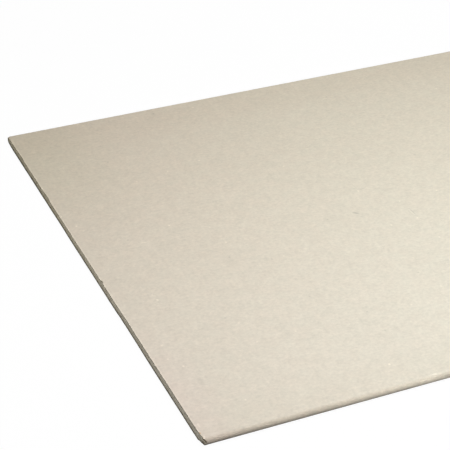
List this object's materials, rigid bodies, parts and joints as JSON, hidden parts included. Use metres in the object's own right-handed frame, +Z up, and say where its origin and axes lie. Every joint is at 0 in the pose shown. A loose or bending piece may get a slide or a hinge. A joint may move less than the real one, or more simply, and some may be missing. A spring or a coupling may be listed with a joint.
{
  "type": "drywall sheet",
  "caption": "Flat paper-faced gypsum board with half-round long edges, square-cut ends, a broken corner and a small nick; lines walls and ceilings",
  "frame": {"origin": "centre of the back face, on the surface that the sheet lies on", "axes": "+X along the length and the half-round long edges, +Y across the width, +Z up out of the face paper"},
  "size_m": [1.2, 0.6, 0.0095],
  "materials": {
    "face_paper": "matte"
  },
  "bodies": {
    "root": {"drywall_sheet": "face_paper"}
  },
  "joints": []
}
